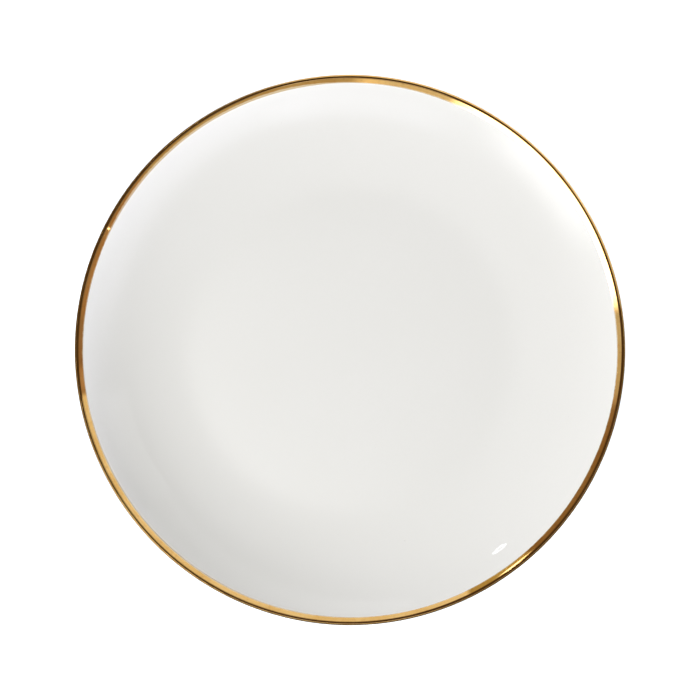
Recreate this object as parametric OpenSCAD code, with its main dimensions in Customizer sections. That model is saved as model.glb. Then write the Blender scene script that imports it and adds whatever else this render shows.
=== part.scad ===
// Coupe dinner plate: a bone china body under clear glaze, with a gold band round the rim.
// Millimetres, +Z up. The origin is on the table plane, below the middle of the plate.
// Every layer is turned from one section, the outline of the bare body: the glaze and the
// gold are that same outline moved outwards by their own thickness.

/* [Plate] */
// Diameter over the gold rim
plate_d = 270; // [255:1:300]
// Diameter of the valley, the lowest circle of the face, round the slightly crowned well
valley_d = 154; // [146:1:162]
// Diameter of the flat spot in the middle of the well
flat_d = 60; // [20:1:80]

/* [Slopes of the face] */
// Fall of the crowned well just inside the valley, in degrees
crown_slope = 0.8; // [0.4:0.1:3]
// Slope just outside the valley, in degrees
shoulder_slope = 7.2; // [5:0.1:9]
// Slope at the foot of the wall, in degrees
wall_foot_slope = 10.2; // [9:0.1:12]
// Slope low on the wall, in degrees
wall_low_slope = 14; // [12.5:0.5:16]
// Slope halfway up the wall, in degrees
wall_middle_slope = 22.5; // [19:0.5:25]
// Slope high on the wall, in degrees
wall_high_slope = 30; // [26:0.5:32]
// Slope where the face reaches the rim, in degrees
rim_slope = 33; // [32:0.5:38]

/* [Body] */
// Thickness of the well
well_t = 3.5; // [3:0.1:4.5]
// Thickness of the fully rounded rim
rim_t = 2; // [1.8:0.1:2.6]

/* [Foot] */
// Diameter of the foot ring, at the middle of its bearing face
foot_d = 154; // [146:1:158]
// Height of the recess inside the foot ring, at the ring
foot_h = 3.2; // [2.8:0.1:4]
// Width of the ground bearing face
foot_face_w = 1.8; // [1.2:0.1:2.4]
// Height at which the glaze stops above the table
glaze_line_h = 1; // [0.9:0.05:1.2]

/* [Glaze and gilding] */
// Thickness of the fired glaze
glaze_t = 0.15; // [0.1:0.01:0.25]
// Thickness of the gold
gold_t = 0.05; // [0.03:0.01:0.1]
// Width of the gold band on the face, seen from above
gold_face_w = 3.9; // [3.4:0.1:6]
// Width of the gold band on the back, past the round of the rim
gold_back_w = 0.9; // [0.5:0.1:2]

/* [Backstamp] */
// Diameter of the ring-shaped backstamp
stamp_d = 26; // [20:1:30]
// Leaves in the wreath between its two rings
stamp_leaves = 16; // [8:2:20]
// Thickness of the print
stamp_t = 0.03; // [0.02:0.01:0.05]

/* [Hidden] */

$fn = 180;
china_white = "ivory";
glaze_white = "whitesmoke";
gold = "goldenrod";

valley_radius = 60; // radius of curvature across the valley
shoulder_w = 8; // width of the shoulder, measured outwards
wall_low = 0.29; // how far out along the wall, from 0 to 1, its low slope is reached
wall_middle = 0.62; // and its middle slope
wall_high = 0.87; // and its high slope
foot_draft = 14; // lean of the foot ring's sides, in degrees
foot_round = 0.8; // radius between the bearing face and the sides
foot_fillet = 1.8; // radius where the foot ring runs into the underside
step = 2.2; // spacing of the section's stations on the long curves
fine_step = 0.45; // spacing of the stations under the gold
lip_steps = 16; // chords round the lip
fillet_steps = 6; // chords round each fillet

valley_r = valley_d / 2;
flat_r = flat_d / 2;
lip_r = rim_t / 2;
body_r = plate_d / 2 - glaze_t - gold_t;
lip_start_r = body_r - lip_r * (1 + sin(rim_slope));
gold_edge_r = plate_d / 2 - gold_face_w;
shoulder_r = valley_r + valley_radius * sin(shoulder_slope);
wall_foot_r = shoulder_r + shoulder_w;
wall_w = lip_start_r - wall_foot_r;

// Sine of the face's slope against radius. Between two knots it is linear, which is an arc of a
// circle, so the face is a chain of arcs that meet with no corner.
FACE_KNOTS = [
    [0, 0],
    [flat_r, 0],
    [valley_r - valley_radius * sin(crown_slope), -sin(crown_slope)],
    [shoulder_r, sin(shoulder_slope)],
    [wall_foot_r, sin(wall_foot_slope)],
    [wall_foot_r + wall_low * wall_w, sin(wall_low_slope)],
    [wall_foot_r + wall_middle * wall_w, sin(wall_middle_slope)],
    [wall_foot_r + wall_high * wall_w, sin(wall_high_slope)],
    [lip_start_r, sin(rim_slope)]
];

function slope_at(r) = asin(lookup(r, FACE_KNOTS));

// Height gained along one arc, from sine a to sine b of its slope, over the width run.
function arc_rise(a, b, run) =
    abs(b - a) < 1e-6
        ? run * a / sqrt(1 - a * a)
        : run * (sqrt(1 - a * a) - sqrt(1 - b * b)) / (b - a);

function rise_to(r, i = 0) =
    i + 1 >= len(FACE_KNOTS) || r <= FACE_KNOTS[i][0]
        ? 0
        : let (end = min(r, FACE_KNOTS[i + 1][0]))
          arc_rise(FACE_KNOTS[i][1], lookup(end, FACE_KNOTS), end - FACE_KNOTS[i][0])
              + rise_to(r, i + 1);

face_centre_z = foot_h + well_t - rise_to(valley_r);

// Points of the face and of the underside below it. The wall thins evenly towards the rim.
function thickness_at(r) = lookup(r, [[valley_r, well_t], [lip_start_r, rim_t]]);
function face_point(r) = [r, face_centre_z + rise_to(r)];
function under_point(r) =
    face_point(r) + thickness_at(r) * [sin(slope_at(r)), -cos(slope_at(r))];

function stations(from, to, gap) =
    let (n = max(1, ceil(abs(to - from) / gap))) [for (i = [0:n - 1]) from + (to - from) * i / n];

// The fully rounded lip: half a turn, from the face over the crest to the underside.
lip_centre = face_point(lip_start_r) + lip_r * [sin(rim_slope), -cos(rim_slope)];
LIP = [
    for (i = [0:lip_steps])
        let (a = 90 + rim_slope - 180 * i / lip_steps) lip_centre + lip_r * [cos(a), sin(a)]
];

// Rounds the corner b of the path a, b, c with an arc of radius rad.
function fillet(a, b, c, rad) =
    let (
        u = (a - b) / norm(a - b),
        v = (c - b) / norm(c - b),
        half = acos(u * v) / 2,
        middle = (u + v) / norm(u + v),
        centre = b + middle * rad / sin(half),
        first = b + u * rad / tan(half) - centre,
        side = sign(cross(u, v)),
        turn = side * (180 - 2 * half)
    )
    [
        for (i = [0:fillet_steps])
            let (t = -turn * i / fillet_steps)
                centre + [first.x * cos(t) - first.y * sin(t), first.x * sin(t) + first.y * cos(t)]
    ];

// Where the line through p, leaning by angle from +X, crosses the upright line of the foot's side.
function meet(p, angle, q, lean) =
    let (
        d = [cos(angle), sin(angle)],
        e = [sin(lean), cos(lean)],
        t = cross(q - p, e) / cross(d, e)
    )
    p + t * d;

foot_r = foot_d / 2;
foot_out = [foot_r + foot_face_w / 2 + foot_round * tan(45 - foot_draft / 2), 0];
foot_in = [foot_r - foot_face_w / 2 - foot_round * tan(45 - foot_draft / 2), 0];
back_start_r = foot_out.x + 5; // where the underside starts to bend into the foot
recess_start_r = foot_in.x - 4;
root_out = meet(under_point(back_start_r), slope_at(back_start_r), foot_out, foot_draft);
root_in = meet(under_point(recess_start_r), slope_at(recess_start_r), foot_in, -foot_draft);

// A point of the foot's side at height z.
function side_point(base, lean, z) = base + [z * tan(lean), z];

// The body's outline, in the order in which a turning tool would follow it.
FACE = [
    for (r = concat([0], stations(flat_r, gold_edge_r, step))) face_point(r)
];
GOLD_FACE = [for (r = stations(gold_edge_r, lip_start_r, fine_step)) face_point(r)];
gold_back_r = lip_start_r - gold_back_w;
GOLD_BACK = [
    for (r = stations(lip_start_r - fine_step, gold_back_r, fine_step)) under_point(r)
];
BACK = concat(
    [for (r = concat(stations(gold_back_r, back_start_r, step), [back_start_r])) under_point(r)],
    fillet(under_point(back_start_r), root_out, foot_out, foot_fillet)
);
FOOT = concat(
    [side_point(foot_out, foot_draft, glaze_line_h)],
    fillet(root_out, foot_out, foot_in, foot_round),
    fillet(foot_out, foot_in, root_in, foot_round),
    [side_point(foot_in, -foot_draft, glaze_line_h)]
);
RECESS = concat(
    fillet(foot_in, root_in, under_point(recess_start_r), foot_fillet),
    [for (r = stations(recess_start_r, flat_r, step)) under_point(r)],
    [under_point(flat_r), under_point(0)]
);
OUTLINE = concat(FACE, GOLD_FACE, LIP, GOLD_BACK, BACK, FOOT, RECESS);

// Places in the outline where the glaze and the gold begin and end.
gold_first = len(FACE);
gold_last = gold_first + len(GOLD_FACE) + len(LIP) + len(GOLD_BACK);
glaze_last = gold_last + len(BACK);
recess_first = glaze_last + len(FOOT) - 1;

// The outward normal of the outline's chord from point i to point i + 1.
function chord_normal(i) =
    let (d = OUTLINE[i + 1] - OUTLINE[i]) [-d.y, d.x] / norm(d);

// Point i of the outline moved outwards by t, so that every chord stays parallel to itself.
function moved(i, t) =
    let (
        a = chord_normal(max(0, i - 1)),
        b = chord_normal(min(len(OUTLINE) - 2, i)),
        n = (a + b) / norm(a + b)
    )
    OUTLINE[i] + n * t / (n * a);

// A layer of the given thickness, laid on the outline from point first to point last.
function layer(first, last, from_t, to_t) = concat(
    [for (i = [first:last]) moved(i, to_t)],
    [for (i = [last:-1:first]) moved(i, from_t)]
);

module turned(section) {
    rotate_extrude() polygon(section);
}

module china_body() {
    color(china_white) turned(OUTLINE);
}

module outer_glaze() {
    color(glaze_white) turned(layer(0, glaze_last, 0, glaze_t));
}

module recess_glaze() {
    color(glaze_white) turned(layer(recess_first, len(OUTLINE) - 1, 0, glaze_t));
}

module rim_gold_band() {
    color(gold) turned(layer(gold_first, gold_last, glaze_t, glaze_t + gold_t));
}

// A generic printed mark with no lettering: a wreath of leaves between two rings.
module ring(outer_r, width) {
    difference() {
        circle(outer_r);
        circle(outer_r - width);
    }
}

module leaf(length, width) {
    bend_r = (length * length / 4 + width * width / 4) / width;
    intersection() {
        translate([0, bend_r - width / 2]) circle(bend_r);
        translate([0, width / 2 - bend_r]) circle(bend_r);
    }
}

module backstamp() {
    stamp_r = stamp_d / 2;
    ring_w = stamp_d * 0.02;
    leaf_l = stamp_d * 0.15;
    leaf_w = stamp_d * 0.05;
    leaf_r = stamp_r * 0.76;
    color(gold) translate([0, 0, OUTLINE[len(OUTLINE) - 1].y - glaze_t - stamp_t])
        linear_extrude(stamp_t) {
            ring(stamp_r, ring_w);
            ring(stamp_r * 0.56, ring_w);
            for (i = [0:stamp_leaves - 1])
                rotate(360 * i / stamp_leaves)
                    translate([leaf_r, 0])
                        rotate(i % 2 == 0 ? 52 : 128) leaf(leaf_l, leaf_w);
        }
}

china_body();
outer_glaze();
recess_glaze();
rim_gold_band();
backstamp();
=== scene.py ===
"""Looks of the coupe dinner plate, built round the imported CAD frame. Metres, +Z up."""
import math

import bpy
import numpy as np
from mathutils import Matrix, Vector


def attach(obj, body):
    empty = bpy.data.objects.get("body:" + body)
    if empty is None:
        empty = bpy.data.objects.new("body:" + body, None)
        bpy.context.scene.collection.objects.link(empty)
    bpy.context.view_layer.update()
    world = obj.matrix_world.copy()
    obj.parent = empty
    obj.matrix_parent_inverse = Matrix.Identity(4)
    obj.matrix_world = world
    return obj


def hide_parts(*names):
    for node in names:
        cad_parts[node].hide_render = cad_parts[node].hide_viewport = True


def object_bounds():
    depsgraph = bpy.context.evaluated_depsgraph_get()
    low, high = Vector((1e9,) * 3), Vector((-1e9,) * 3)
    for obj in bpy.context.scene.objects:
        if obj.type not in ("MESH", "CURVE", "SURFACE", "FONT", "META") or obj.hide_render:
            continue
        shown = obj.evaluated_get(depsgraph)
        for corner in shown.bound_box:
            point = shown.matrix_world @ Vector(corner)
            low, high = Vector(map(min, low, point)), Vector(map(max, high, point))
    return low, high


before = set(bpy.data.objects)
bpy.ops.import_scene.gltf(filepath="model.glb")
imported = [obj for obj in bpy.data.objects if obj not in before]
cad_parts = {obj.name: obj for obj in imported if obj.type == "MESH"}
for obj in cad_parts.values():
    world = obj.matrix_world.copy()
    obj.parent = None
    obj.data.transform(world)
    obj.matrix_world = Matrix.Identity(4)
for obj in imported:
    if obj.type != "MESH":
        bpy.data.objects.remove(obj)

cad_lo, cad_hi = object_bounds()

MM = 0.001
SEGMENTS = 320  # facets round each turned piece

# ---------------------------------------------------------------- the section, as in the CAD
# Millimetres. Names and values are those of part.scad.
PLATE_D, VALLEY_D, FLAT_D = 270.0, 154.0, 60.0
CROWN_SLOPE, SHOULDER_SLOPE, WALL_FOOT_SLOPE = (math.radians(a) for a in (0.8, 7.2, 10.2))
WALL_LOW_SLOPE, WALL_MIDDLE_SLOPE, WALL_HIGH_SLOPE = (math.radians(a) for a in (14, 22.5, 30))
RIM_SLOPE = math.radians(33)
VALLEY_RADIUS, SHOULDER_W = 60.0, 8.0
WALL_LOW, WALL_MIDDLE, WALL_HIGH = 0.29, 0.62, 0.87
WELL_T, RIM_T = 3.5, 2.0
FOOT_D, FOOT_H, FOOT_FACE_W = 154.0, 3.2, 1.8
FOOT_DRAFT, FOOT_ROUND, FOOT_FILLET = math.radians(14), 0.8, 1.8
GLAZE_LINE_H, GLAZE_T, GOLD_T = 1.0, 0.15, 0.05
GOLD_FACE_W, GOLD_BACK_W = 3.9, 0.9

valley_r, flat_r, lip_r = VALLEY_D / 2, FLAT_D / 2, RIM_T / 2
body_r = PLATE_D / 2 - GLAZE_T - GOLD_T
lip_start_r = body_r - lip_r * (1 + math.sin(RIM_SLOPE))
gold_edge_r = PLATE_D / 2 - GOLD_FACE_W
shoulder_r = valley_r + VALLEY_RADIUS * math.sin(SHOULDER_SLOPE)
wall_foot_r = shoulder_r + SHOULDER_W
wall_w = lip_start_r - wall_foot_r
FACE_KNOTS = np.array([
    (0, 0),
    (flat_r, 0),
    (valley_r - VALLEY_RADIUS * math.sin(CROWN_SLOPE), -math.sin(CROWN_SLOPE)),
    (shoulder_r, math.sin(SHOULDER_SLOPE)),
    (wall_foot_r, math.sin(WALL_FOOT_SLOPE)),
    (wall_foot_r + WALL_LOW * wall_w, math.sin(WALL_LOW_SLOPE)),
    (wall_foot_r + WALL_MIDDLE * wall_w, math.sin(WALL_MIDDLE_SLOPE)),
    (wall_foot_r + WALL_HIGH * wall_w, math.sin(WALL_HIGH_SLOPE)),
    (lip_start_r, math.sin(RIM_SLOPE)),
])


def integrated_face(step=0.05, blend=1.2):
    """Radius, sine of slope and height of the face. The bends between its arcs are eased over blend
    mm."""
    r = np.arange(0, lip_start_r + step, step)
    reach = int(3 * blend / step)
    kernel = np.exp(-0.5 * (np.arange(-reach, reach + 1) * step / blend) ** 2)
    sines = np.interp(r, FACE_KNOTS[:, 0], FACE_KNOTS[:, 1])
    padded = np.pad(sines, reach, mode="reflect", reflect_type="odd")
    sines = np.convolve(padded, kernel / kernel.sum(), "valid")
    tangents = sines / np.sqrt(1 - sines ** 2)
    rise = np.concatenate([[0], np.cumsum((tangents[1:] + tangents[:-1]) * step / 2)])
    z = rise + FOOT_H + WELL_T - np.interp(valley_r, r, rise)
    return r, sines, z


FACE_R, FACE_SINE, FACE_Z = integrated_face()


def face_point(r):
    return np.array([r, np.interp(r, FACE_R, FACE_Z)])


def slope_at(r):
    return math.asin(np.interp(r, FACE_R, FACE_SINE))


def under_point(r):
    """The point of the underside square below the face at radius r."""
    thickness = np.interp(r, [valley_r, lip_start_r], [WELL_T, RIM_T])
    s = slope_at(r)
    return face_point(r) + thickness * np.array([math.sin(s), -math.cos(s)])


def stations(start, stop, gap):
    """Even steps from start to stop, without stop itself."""
    count = max(1, math.ceil(abs(stop - start) / gap))
    return [start + (stop - start) * i / count for i in range(count)]


def fillet(a, b, c, radius, steps=10):
    """The corner b of the path a, b, c rounded with an arc."""
    u = (a - b) / np.linalg.norm(a - b)
    v = (c - b) / np.linalg.norm(c - b)
    half = math.acos(float(u @ v)) / 2
    centre = b + (u + v) / np.linalg.norm(u + v) * radius / math.sin(half)
    first = b + u * radius / math.tan(half) - centre
    turn = -math.copysign(math.pi - 2 * half, u[0] * v[1] - u[1] * v[0])
    arc = []
    for i in range(steps + 1):
        cos, sin = math.cos(turn * i / steps), math.sin(turn * i / steps)
        arc.append(centre + [first[0] * cos - first[1] * sin, first[0] * sin + first[1] * cos])
    return arc


def meet(p, angle, q, lean):
    """Where the line through p at angle crosses the line through q that leans from upright."""
    d = np.array([math.cos(angle), math.sin(angle)])
    e = np.array([math.sin(lean), math.cos(lean)])
    gap = q - p
    return p + d * (gap[0] * e[1] - gap[1] * e[0]) / (d[0] * e[1] - d[1] * e[0])


def body_outline():
    """The bare body's outline from the middle of the face to the middle of the recess, and the numbers
    of the points where the gold, the lip, the bare back, the foot and the recess glaze start."""
    face_radii = [0] + stations(2, gold_edge_r - 1, 2) + stations(gold_edge_r - 1, gold_edge_r, 0.5)
    face = [face_point(r) for r in face_radii]
    gold_face = [face_point(r) for r in stations(gold_edge_r, lip_start_r, 0.3)]
    centre = face_point(lip_start_r) + lip_r * np.array([math.sin(RIM_SLOPE), -math.cos(RIM_SLOPE)])
    angles = [math.pi / 2 + RIM_SLOPE - math.pi * i / 28 for i in range(29)]
    lip = [centre + lip_r * np.array([math.cos(a), math.sin(a)]) for a in angles]
    gold_back_r = lip_start_r - GOLD_BACK_W
    gold_back = [under_point(r) for r in stations(lip_start_r - 0.3, gold_back_r, 0.3)]

    half_foot = FOOT_FACE_W / 2 + FOOT_ROUND * math.tan(math.pi / 4 - FOOT_DRAFT / 2)
    foot_out, foot_in = np.array([FOOT_D / 2 + half_foot, 0.0]), np.array([FOOT_D / 2 - half_foot, 0.0])
    back_r, recess_r = foot_out[0] + 5, foot_in[0] - 4
    root_out = meet(under_point(back_r), slope_at(back_r), foot_out, FOOT_DRAFT)
    root_in = meet(under_point(recess_r), slope_at(recess_r), foot_in, -FOOT_DRAFT)
    lean = np.array([math.tan(FOOT_DRAFT), 1])
    back = [under_point(r) for r in stations(gold_back_r, back_r, 2) + [back_r]]
    back += fillet(under_point(back_r), root_out, foot_out, FOOT_FILLET)
    foot = [foot_out + GLAZE_LINE_H * lean]
    foot += fillet(root_out, foot_out, foot_in, FOOT_ROUND)
    foot += fillet(foot_out, foot_in, root_in, FOOT_ROUND)
    foot += [foot_in + GLAZE_LINE_H * lean * [-1, 1]]
    recess = fillet(foot_in, root_in, under_point(recess_r), FOOT_FILLET)
    recess += [under_point(r) for r in stations(recess_r, 2, 2) + [2, 0]]

    gold_first = len(face)
    lip_first = gold_first + len(gold_face)
    gold_last = lip_first + len(lip) + len(gold_back)
    glaze_last = gold_last + len(back)
    recess_first = glaze_last + len(foot) - 1
    points = np.array(face + gold_face + lip + gold_back + back + foot + recess)
    return points, gold_first, lip_first, gold_last, glaze_last, recess_first


OUTLINE, gold_first, lip_first, gold_last, glaze_last, recess_first = body_outline()


def moved(thickness):
    """The outline moved outwards by a thickness, every chord parallel to itself."""
    chords = np.diff(OUTLINE, axis=0)
    normals = np.stack([-chords[:, 1], chords[:, 0]], 1) / np.linalg.norm(chords, axis=1)[:, None]
    before = np.vstack([normals[:1], normals])
    after = np.vstack([normals, normals[-1:]])
    middle = before + after
    middle /= np.linalg.norm(middle, axis=1)[:, None]
    return OUTLINE + thickness * middle / np.sum(middle * before, axis=1)[:, None]


def layer(first, last, inner, outer):
    """The closed section of a layer that lies on the outline from point first to point last."""
    return np.vstack([moved(outer)[first:last + 1], moved(inner)[first:last + 1][::-1]])


# ---------------------------------------------------------------- meshes
def lathe(name, section_at):
    """A closed solid turned about Z. section_at(angle) gives the closed section there in mm,
    always with as many points; points on the axis are shared."""
    angles = [2 * math.pi * j / SEGMENTS for j in range(SEGMENTS)]
    sections = [section_at(a) for a in angles]
    count = len(sections[0])
    poles = [k for k in range(count) if sections[0][k][0] < 1e-6]
    verts, index = [], np.zeros((count, SEGMENTS), int)
    for k in range(count):
        if k in poles:
            index[k, :] = len(verts)
            verts.append((0, 0, sections[0][k][1] * MM))
            continue
        for j, a in enumerate(angles):
            index[k, j] = len(verts)
            r, z = sections[j][k]
            verts.append((r * MM * math.cos(a), r * MM * math.sin(a), z * MM))
    faces = []
    for k in range(count):
        k2 = (k + 1) % count
        if k in poles and k2 in poles:
            continue
        for j in range(SEGMENTS):
            j2 = (j + 1) % SEGMENTS
            loop = [int(index[k, j]), int(index[k2, j]), int(index[k2, j2]), int(index[k, j2])]
            faces.append([v for i, v in enumerate(loop) if v not in loop[:i]])
    mesh = bpy.data.meshes.new(name)
    mesh.from_pydata(verts, [], faces)
    mesh.validate()
    mesh.shade_smooth()
    mesh.set_sharp_from_angle(angle=math.radians(35))
    obj = bpy.data.objects.new(name, mesh)
    bpy.context.scene.collection.objects.link(obj)
    return obj


GOLD_TOP, GOLD_LOW = (moved(t)[gold_first:gold_last + 1] for t in (GLAZE_T + GOLD_T, GLAZE_T))
GOLD_WANDER = ((0.17, 2, -4.538), (0.05, 5, 0.9), (0.03, 11, 2.1), (0.018, 23, 0.4), (0.01, 41, 1.7))


def gold_section(angle):
    """The gold band's section at an angle. Its hand-drawn inner edge wanders round the plate in
    waves, each given above by its depth in mm, number and phase in radians."""
    wander = sum(depth * math.cos(waves * angle + phase) for depth, waves, phase in GOLD_WANDER)
    top, low = GOLD_TOP.copy(), GOLD_LOW.copy()
    start, end = OUTLINE[gold_first][0], lip_start_r
    for line in (top, low):
        for k in range(lip_first - gold_first):
            shift = wander * (end - OUTLINE[gold_first + k][0]) / (end - start)
            line[k] += [shift, shift * math.tan(slope_at(line[k][0] + shift))]
    return np.vstack([top, low[::-1]])


body = lathe("china_body_fine", lambda a: OUTLINE)
glaze_loop = layer(0, glaze_last, 0, GLAZE_T)
outer_glaze = lathe("outer_glaze_fine", lambda a: glaze_loop)
recess_loop = layer(recess_first, len(OUTLINE) - 1, 0, GLAZE_T)
recess_glaze = lathe("recess_glaze_fine", lambda a: recess_loop)
gold_band = lathe("rim_gold_band_fine", gold_section)

for piece, node, slot in (
    (body, "china_body", "bone_china"),
    (outer_glaze, "outer_glaze", "clear_glaze"),
    (recess_glaze, "recess_glaze", "clear_glaze"),
    (gold_band, "rim_gold_band", "bright_gold"),
):
    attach(piece, "root")
    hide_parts(node)
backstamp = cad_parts["backstamp"]


# ---------------------------------------------------------------- shader graphs
def towards(azimuth, elevation):
    """Unit vector towards a direction in degrees: azimuth from +X towards +Y, elevation from level."""
    a, e = math.radians(azimuth), math.radians(elevation)
    return Vector((math.cos(a) * math.cos(e), math.sin(a) * math.cos(e), math.sin(e)))


class Graph:
    """Adds nodes to one tree. Values may be plain numbers or the output of another node."""

    def __init__(self, tree):
        self.tree = tree

    def feed(self, socket, value):
        if isinstance(value, bpy.types.NodeSocket):
            self.tree.links.new(value, socket)
        else:
            socket.default_value = value

    def node(self, kind, inputs={}, **settings):
        made = self.tree.nodes.new("ShaderNode" + kind)
        for key, value in settings.items():
            setattr(made, key, value)
        for key, value in inputs.items():
            self.feed(made.inputs[key], value)
        return made

    def math(self, operation, *values):
        made = self.node("Math", operation=operation)
        for socket, value in zip(made.inputs, values):
            self.feed(socket, value)
        return made.outputs[0]

    def add(self, *values):
        total = values[0]
        for value in values[1:]:
            total = self.math("ADD", total, value)
        return total

    def multiply(self, *values):
        total = values[0]
        for value in values[1:]:
            total = self.math("MULTIPLY", total, value)
        return total

    def dot(self, vector, fixed):
        made = self.node("VectorMath", {0: vector, 1: fixed}, operation="DOT_PRODUCT")
        return made.outputs["Value"]

    def plus(self, first, second):
        return self.node("VectorMath", {0: first, 1: second}, operation="ADD").outputs[0]

    def scaled(self, vector, factor):
        return self.node("VectorMath", {0: vector, "Scale": factor}, operation="SCALE").outputs[0]

    def ramp(self, value, start, stop, low=0.0, high=1.0):
        """Runs smoothly from low, where value is start, to high, where it is stop."""
        made = self.node("MapRange", {"Value": value, "From Min": start, "From Max": stop,
                                      "To Min": low, "To Max": high}, interpolation_type="SMOOTHSTEP")
        return made.outputs["Result"]

    def window(self, value, low, high, low_edge, high_edge):
        """1 between low and high, falling to 0 over an edge of the given width on each side."""
        rise = self.ramp(value, low - low_edge / 2, low + low_edge / 2)
        fall = self.ramp(value, high + high_edge / 2, high - high_edge / 2)
        return self.multiply(rise, fall)

    def noise(self, vector, scale, detail=2.0, roughness=0.5, distortion=0.0):
        made = self.node("TexNoise", {"Vector": vector, "Scale": scale, "Detail": detail,
                                      "Roughness": roughness, "Distortion": distortion})
        return made.outputs["Fac"]

    def specks(self, vector, scale, radius, share, edge=0.3):
        """Round specks of about the given radius in metres, in the given share of the cells."""
        cells = self.node("TexVoronoi", {"Vector": vector, "Scale": scale}, feature="F1")
        picked = self.node("SeparateColor", {"Color": cells.outputs["Color"]})
        size = self.ramp(picked.outputs["Green"], 0, 1, 0.5 * radius * scale, 1.5 * radius * scale)
        spot = self.ramp(self.math("DIVIDE", cells.outputs["Distance"], size), 1 + edge, 1 - edge)
        return self.multiply(spot, self.math("LESS_THAN", picked.outputs["Red"], share))

    def bump(self, *layers):
        """A normal from (height, depth in metres) layers."""
        normal = None
        for height, depth in layers:
            made = self.node("Bump", {"Strength": 1.0, "Distance": depth, "Height": height})
            if normal is not None:
                self.feed(made.inputs["Normal"], normal)
            normal = made.outputs["Normal"]
        return normal

    def place(self):
        """Object position, and its distance from the plate's axis."""
        position = self.node("TexCoord").outputs["Object"]
        parts = self.node("SeparateXYZ", {0: position})
        x, y, z = parts.outputs
        radius = self.math("SQRT", self.add(self.multiply(x, x), self.multiply(y, y)))
        return position, x, y, z, radius

    def mix(self, factor, first, second):
        made = self.node("Mix", data_type="RGBA")
        self.feed(made.inputs["Factor"], factor)
        self.feed(made.inputs[6], first)
        self.feed(made.inputs[7], second)
        return made.outputs[2]


def material(name):
    mat = bpy.data.materials.new(name)
    mat.use_nodes = True
    return mat, Graph(mat.node_tree), mat.node_tree.nodes["Principled BSDF"]


# ---------------------------------------------------------------- materials
def glaze_material():
    """Clear glaze on white china. It lies in faint broad waves with a trace of orange peel, is a
    hair greyer where it pooled round the foot ring, and holds a few specks and pinholes."""
    mat, g, bsdf = material("glaze")
    foot_r = FOOT_D / 2 * MM
    position, x, y, z, radius = g.place()
    clouds = g.noise(position, 16, 3)
    grain = g.noise(position, 900, 2)
    tone = g.mix(g.ramp(clouds, 0.3, 0.7), (0.861, 0.856, 0.823, 1), (0.869, 0.864, 0.833, 1))
    tone = g.mix(g.multiply(g.ramp(grain, 0.3, 0.7), 0.5), tone, (0.857, 0.852, 0.819, 1))
    by_the_foot = g.window(radius, foot_r - 0.0035, foot_r + 0.0035, 0.0015, 0.0025)
    pooled = g.multiply(by_the_foot, g.ramp(z, 0.0048, 0.0034))
    tone = g.mix(g.multiply(pooled, 0.5), tone, (0.76, 0.755, 0.71, 1))
    specks = g.specks(position, 85, 0.00016, 0.35)
    pinholes = g.specks(position, 170, 0.00009, 0.25)
    tone = g.mix(g.multiply(specks, 0.45), tone, (0.33, 0.27, 0.20, 1))
    tone = g.mix(g.multiply(pinholes, 0.25), tone, (0.50, 0.48, 0.44, 1))
    g.feed(bsdf.inputs["Base Color"], tone)
    smears = g.noise(position, 38, 4, 0.6)
    rough = g.add(g.ramp(smears, 0.35, 0.75, 0.022, 0.045), g.multiply(specks, 0.1))
    g.feed(bsdf.inputs["Roughness"], rough)
    bsdf.inputs["IOR"].default_value = 1.52
    waves, peel = g.noise(position, 55, 1), g.noise(position, 430, 1)
    g.feed(bsdf.inputs["Normal"], g.bump((waves, 1.6e-5), (peel, 8e-7), (pinholes, -5e-6)))
    return mat


def round_the_rim(g, x, y, z, radius, fineness, length):
    """Noise drawn out into lines that run round the rim."""
    run = g.node("CombineXYZ", {"X": g.add(g.multiply(radius, fineness), g.multiply(z, 0.7 * fineness)),
                                "Y": g.multiply(g.math("DIVIDE", x, radius), length),
                                "Z": g.multiply(g.math("DIVIDE", y, radius), length)}).outputs[0]
    return g.noise(run, 1.0, 2, 0.6)


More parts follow.
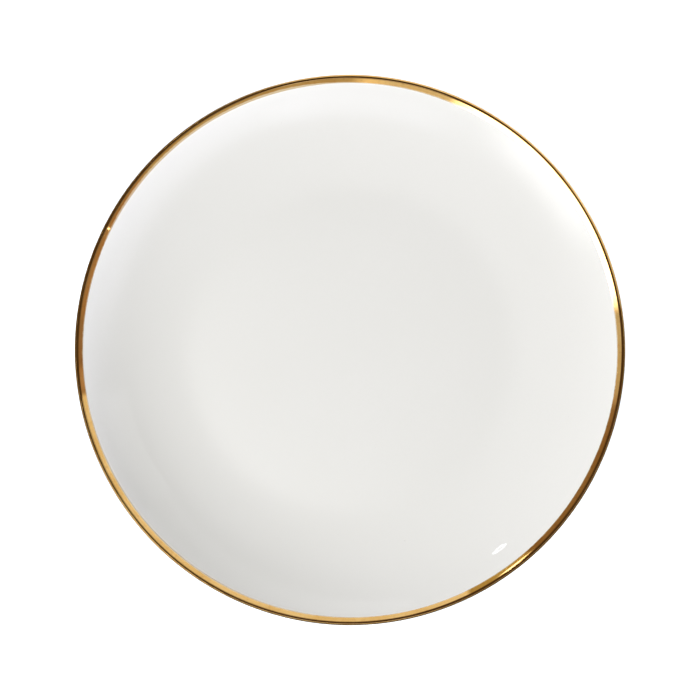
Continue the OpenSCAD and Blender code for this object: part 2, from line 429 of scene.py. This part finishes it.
def gold_material():
    """Bright fired gold, brushed on while the plate turned: fine lines round the rim, cloudier
    patches, a paler edge where it thins out on the glaze, and a lip rubbed duller by handling."""
    mat, g, bsdf = material("gold")
    inner_r, crest_r = gold_edge_r * MM, (body_r - lip_r) * MM
    position, x, y, z, radius = g.place()
    lines = round_the_rim(g, x, y, z, radius, 3200, 9)
    broad = round_the_rim(g, x, y, z, radius, 900, 4)
    patches = g.noise(position, 75, 3)
    clouds = g.noise(position, 600, 2)
    tone = g.mix(g.ramp(patches, 0.32, 0.68), (0.955, 0.64, 0.25, 1), (0.87, 0.545, 0.185, 1))
    tone = g.mix(g.multiply(g.ramp(lines, 0.45, 0.75), 0.35), tone, (0.74, 0.43, 0.13, 1))
    tone = g.mix(g.multiply(g.ramp(clouds, 0.5, 0.8), 0.35), tone, (0.70, 0.37, 0.13, 1))
    ragged = g.add(radius, g.multiply(g.add(clouds, -0.5), 0.0005))
    softer = g.ramp(g.dot(position, towards(125, 0)), 0.106, 0.128, 0.0, 0.0008)
    thin = g.ramp(g.add(ragged, g.multiply(softer, -1)), inner_r + 0.0005, inner_r)
    tone = g.mix(g.multiply(thin, 0.85), tone, (0.95, 0.80, 0.55, 1))
    pits = g.specks(position, 420, 0.00008, 0.5)
    tone = g.mix(g.multiply(pits, 0.8), tone, (0.30, 0.16, 0.07, 1))
    g.feed(bsdf.inputs["Base Color"], tone)
    g.feed(bsdf.inputs["Metallic"], g.add(1, g.multiply(thin, -0.4)))
    rubbed = g.ramp(radius, crest_r + 0.0003, crest_r + 0.00055)
    rough = g.add(g.ramp(lines, 0.35, 0.75, 0.022, 0.045), g.ramp(patches, 0.4, 0.75, 0.0, 0.015),
                  g.multiply(pits, 0.3), g.multiply(rubbed, 0.3))
    g.feed(bsdf.inputs["Roughness"], rough)
    g.feed(bsdf.inputs["Normal"], g.bump((broad, 2.5e-7), (lines, 6e-8), (clouds, 8e-8), (pits, -1e-6)))
    return mat


def bisque_material():
    """Fired china without glaze, ground on the foot ring: fine grained, and grey from standing."""
    mat, g, bsdf = material("bisque")
    position, x, y, z, radius = g.place()
    clouds, grain = g.noise(position, 120, 4, 0.6), g.noise(position, 5200, 3, 0.65)
    scuffs = round_the_rim(g, x, y, z, radius, 5200, 60)
    tone = g.mix(g.ramp(clouds, 0.3, 0.7), (0.80, 0.775, 0.715, 1), (0.84, 0.82, 0.765, 1))
    tone = g.mix(g.multiply(g.ramp(grain, 0.5, 0.8), 0.35), tone, (0.66, 0.63, 0.57, 1))
    wear = g.ramp(g.add(g.multiply(clouds, 0.6), g.multiply(scuffs, 0.4)), 0.42, 0.66)
    worn = g.multiply(g.ramp(z, 0.0004, 0.00005), wear)
    tone = g.mix(g.multiply(worn, 0.6), tone, (0.50, 0.48, 0.44, 1))
    grit = g.specks(position, 900, 0.00009, 0.2)
    tone = g.mix(g.multiply(grit, 0.6), tone, (0.30, 0.27, 0.23, 1))
    g.feed(bsdf.inputs["Base Color"], tone)
    matt = g.add(grain, g.multiply(worn, -0.2))
    g.feed(bsdf.inputs["Roughness"], g.ramp(matt, 0.25, 0.75, 0.48, 0.72))
    bsdf.inputs["IOR"].default_value = 1.5
    g.feed(bsdf.inputs["Normal"], g.bump((grain, 1.4e-5), (scuffs, 8e-6)))
    return mat


def backstamp_material():
    """Printed gold: flatter and browner than the band, uneven, with the pinholes of a transfer."""
    mat, g, bsdf = material("backstamp_gold")
    position, x, y, z, radius = g.place()
    patches, grain = g.noise(position, 260, 3), g.noise(position, 2600, 2)
    tone = g.mix(g.ramp(patches, 0.3, 0.7), (0.80, 0.52, 0.21, 1), (0.62, 0.37, 0.14, 1))
    tone = g.mix(g.multiply(g.ramp(grain, 0.5, 0.75), 0.4), tone, (0.46, 0.26, 0.10, 1))
    holes = g.specks(position, 1500, 0.00005, 0.35)
    tone = g.mix(holes, tone, (0.86, 0.855, 0.82, 1))
    g.feed(bsdf.inputs["Base Color"], tone)
    g.feed(bsdf.inputs["Metallic"], g.ramp(holes, 0, 1, 0.95, 0))
    g.feed(bsdf.inputs["Roughness"], g.ramp(grain, 0.3, 0.75, 0.24, 0.42))
    g.feed(bsdf.inputs["Normal"], g.bump((grain, 3e-6), (holes, -8e-6)))
    return mat


def assign(obj, mat):
    obj.data.materials.clear()
    obj.data.materials.append(mat)


glaze, gold, bisque = glaze_material(), gold_material(), bisque_material()
assign(body, bisque)
assign(outer_glaze, glaze)
assign(recess_glaze, glaze)
assign(gold_band, gold)
assign(backstamp, backstamp_material())

# ---------------------------------------------------------------- camera and floor
RIM_HEIGHT = float(cad_hi[2])
CAMERA_HEIGHT = 1.6
SENSOR_WIDTH = 36
RIM_FRACTION = 0.39357  # the rim's radius as a share of the picture's width
camera_data = bpy.data.cameras.new("camera")
camera_data.sensor_width = SENSOR_WIDTH
camera_data.lens = SENSOR_WIDTH * RIM_FRACTION * (CAMERA_HEIGHT - RIM_HEIGHT) / (PLATE_D / 2 * MM)
camera_data.clip_end = 20
camera = bpy.data.objects.new("camera", camera_data)
camera.location = (0, 0, CAMERA_HEIGHT)
bpy.context.scene.collection.objects.link(camera)
bpy.context.scene.camera = camera

FLOOR_HALF = 3.0
FLOOR_DROP = 5e-5  # just under the foot ring, so that the two never share a plane
FLOOR_GLOW = 0.62  # lifts the floor to white for the camera only


def floor_material():
    """Pale matt board: white to the camera. Where gloss mirrors it, it is painted dark, with a painted
    pool of light towards azimuth 60.
    """
    mat, g, bsdf = material("floor")
    path = g.node("LightPath")
    place = g.node("TexCoord").outputs["Object"]
    grain = g.add(g.multiply(g.noise(place, 6, 3), 0.6), g.multiply(g.noise(place, 260, 3), 0.4))
    pale = g.mix(g.ramp(grain, 0.35, 0.65), (0.79, 0.79, 0.78, 1), (0.81, 0.81, 0.80, 1))
    # painted light: in reflections the floor is painted dark, with a painted pool of light on the side
    # towards azimuth 60
    spot = g.node("VectorMath", {0: place}, operation="NORMALIZE").outputs[0]
    lit = g.ramp(g.dot(spot, towards(60, 0)), 0.35, 0.95)
    mirrored = g.mix(lit, (0.07, 0.065, 0.06, 1), (0.78, 0.78, 0.77, 1))
    floor_tone_with_painted_light = g.mix(path.outputs["Is Glossy Ray"], pale, mirrored)
    g.feed(bsdf.inputs["Base Color"], floor_tone_with_painted_light)
    bsdf.inputs["Roughness"].default_value = 0.9
    bsdf.inputs["Specular IOR Level"].default_value = 0
    bsdf.inputs["Emission Color"].default_value = (1, 1, 1, 1)
    g.feed(bsdf.inputs["Emission Strength"], g.multiply(path.outputs["Is Camera Ray"], FLOOR_GLOW))
    return mat


floor_mesh = bpy.data.meshes.new("floor")
corners = [(x, y, -FLOOR_DROP) for x, y in
           ((-FLOOR_HALF, -FLOOR_HALF), (FLOOR_HALF, -FLOOR_HALF),
            (FLOOR_HALF, FLOOR_HALF), (-FLOOR_HALF, FLOOR_HALF))]
floor_mesh.from_pydata(corners, [], [(0, 1, 2, 3)])
floor = bpy.data.objects.new("floor", floor_mesh)
bpy.context.scene.collection.objects.link(floor)
assign(floor, floor_material())


# ---------------------------------------------------------------- lights
def softbox(name, azimuth, elevation, width, height, radiance, tint=(1, 1, 1), distance=1.6):
    """A softbox that faces the plate and lights its body colour. The studio round the plate, below,
    is what the gloss of the glaze and the gold mirrors."""
    light = bpy.data.lights.new(name, "AREA")
    light.shape = "RECTANGLE"
    light.size, light.size_y = width, height
    light.energy = radiance * math.pi * width * height
    light.color = tint
    obj = bpy.data.objects.new(name, light)
    direction = towards(azimuth, elevation)
    obj.location = direction * distance + Vector((0, 0, RIM_HEIGHT))
    obj.rotation_euler = direction.to_track_quat("Z", "Y").to_euler()
    obj.visible_camera = False
    obj.visible_glossy = False
    bpy.context.scene.collection.objects.link(obj)


# The radiances, and which of a grid of directions are used, come from a non-negative
# least-squares fit and are rounded. The names and tints were given one by one.
softbox("key", 240, 28, 0.9, 0.6, 12.2)
softbox("left_fill", 180, 28, 0.9, 0.6, 9.0)
softbox("right_fill", 30, 28, 0.9, 0.6, 9.7)
softbox("back_low", 150, 9, 0.9, 0.5, 5.3, tint=(0.99, 0.98, 1.05))
softbox("front_low", 300, 9, 0.9, 0.5, 3.3, tint=(0.98, 0.98, 1.14))
softbox("front_horizon", 300, 3.2, 0.9, 0.17, 5.0, tint=(0.97, 0.98, 1.14))
softbox("right_low", 30, 9, 0.9, 0.5, 1.1)
softbox("right_horizon", 330, 1.35, 0.9, 0.07, 54.0, tint=(0.965, 0.985, 1.17))


class Studio:
    """The surroundings that gloss mirrors. Angles are in degrees, as seen from the plate."""

    def __init__(self, g):
        self.g = g
        self.direction = g.node("TexCoord").outputs["Generated"]
        height = g.dot(self.direction, (0, 0, 1))
        self.elevation = g.multiply(g.math("ARCSINE", height), math.degrees(1))
        self.light = g.node("CombineXYZ", {"X": 0.075, "Y": 0.048, "Z": 0.025}).outputs[0]

    def shine(self, shape, radiance, tint):
        lit = self.g.scaled(tuple(radiance * c for c in tint), shape)
        self.light = self.g.plus(self.light, lit)

    def panel(self, azimuth, half_width, low, high, edges, radiance, slant=0.0, tint=(1, 1, 1)):
        """A panel centred on an azimuth. edges are the widths of its soft sides, low edge and high
        edge; slant lifts the high edge by so much for each degree of azimuth."""
        g = self.g
        side_edge, low_edge, high_edge = edges
        angle = g.math("ARCTAN2", g.dot(self.direction, towards(azimuth + 90, 0)),
                       g.dot(self.direction, towards(azimuth, 0)))
        angle = g.multiply(angle, math.degrees(1))
        top = g.add(self.elevation, g.multiply(angle, -slant))
        shape = g.multiply(g.window(angle, -half_width, half_width, side_edge, side_edge),
                           g.ramp(self.elevation, low - low_edge / 2, low + low_edge / 2),
                           g.ramp(top, high + high_edge / 2, high - high_edge / 2))
        self.shine(shape, radiance, tint)

    def lamp(self, azimuth, elevation, half_width, half_height, hole, edge, radiance):
        """A small oval lamp with a dark middle."""
        g = self.g
        ahead, side = towards(azimuth, elevation), towards(azimuth + 90, 0)
        up = ahead.cross(side)
        depth = g.math("MAXIMUM", g.dot(self.direction, ahead), 0.001)
        wide = g.multiply(depth, math.radians(half_width))
        tall = g.multiply(depth, math.radians(half_height))
        across = g.math("DIVIDE", g.dot(self.direction, side), wide)
        along = g.math("DIVIDE", g.dot(self.direction, up), tall)
        radius = g.math("SQRT", g.add(g.multiply(across, across), g.multiply(along, along)))
        self.shine(g.window(radius, hole, 1.0, edge, edge), radiance, (1, 1, 1))


SKY_WHITE = 1.1  # for the camera only, just past white
BAND_LOW, BAND_HIGH = 28.3, 31.4  # the elevations that the gold on the face mirrors to the camera


def studio():
    """White for the camera, black for body colours, and for the gloss a dim room with bright panels."""
    world = bpy.data.worlds.new("studio")
    world.use_nodes = True
    world.cycles.sampling_method = "NONE"
    g = Graph(world.node_tree)
    room = Studio(g)
    # what the wall of the dish mirrors
    cool = (0.96, 0.98, 1.14)
    room.panel(221, 14, 32, 43, (16, 1, 22), 3.0)
    room.panel(268, 20, 38, 52.5, (14, 8, 6), 0.95, tint=cool)
    room.panel(315, 35, 38, 50, (14, 8, 4), 0.4, tint=cool)
    room.panel(24, 14, 41, 56.5, (0.8, 8, 1), 0.85)
    room.panel(71, 33, 33, 46.6, (1, 2, 1), 0.6, slant=-0.27)
    # what the gold band mirrors: azimuth, half width, width of the sides, radiance and tint, read
    # off the band's measured tones and then adjusted
    plain = (1, 1, 1)
    for azimuth, half_width, edge, radiance, tint in (
        (218, 27, 8, 6.0, plain),
        (256, 12, 6, 0.66, plain),
        (292, 28, 8, 0.4, (1, 0.9, 0.7)),
        (337, 17, 5, 0.31, (1, 0.68, 0.5)),
        (2, 7.5, 4, 0.21, (1, 0.66, 0.5)),
        (6.5, 3, 2, 0.14, (1, 0.7, 0.5)),
        (62.8, 53.3, 1.5, 0.76, plain),
        (123.5, 7.5, 3, 0.38, (1, 0.86, 0.45)),
        (151, 20, 4, 0.19, (1, 0.66, 0.42)),
        (180, 10, 8, 0.5, plain),
    ):
        room.panel(azimuth, half_width, BAND_LOW, BAND_HIGH, (edge, 0.6, 0.8), radiance, tint=tint)
    # what its lip mirrors, low in the room
    room.panel(218, 40, -10, 20, (12, 6, 6), 0.08)
    room.panel(58, 46, -10, 24, (10, 2, 6), 1.5)
    # small lamps: one over the wall, its streak in the gold, and one more in the gold
    room.lamp(127, 42.6, 1.5, 1.2, 0.52, 0.08, 12.0)
    room.lamp(127.5, 28.95, 3.4, 0.45, 0.0, 1.0, 7.5)
    room.lamp(333.3, 29.7, 0.14, 0.6, 0.0, 0.3, 4.5)
    path = g.node("LightPath")
    mirrored = g.scaled(room.light, path.outputs["Is Glossy Ray"])
    ground = g.scaled((SKY_WHITE, SKY_WHITE, SKY_WHITE), path.outputs["Is Camera Ray"])
    background = world.node_tree.nodes["Background"]
    g.feed(background.inputs["Color"], g.plus(mirrored, ground))
    background.inputs["Strength"].default_value = 1.0
    bpy.context.scene.world = world


studio()
bpy.context.scene.view_settings.view_transform = "Standard"
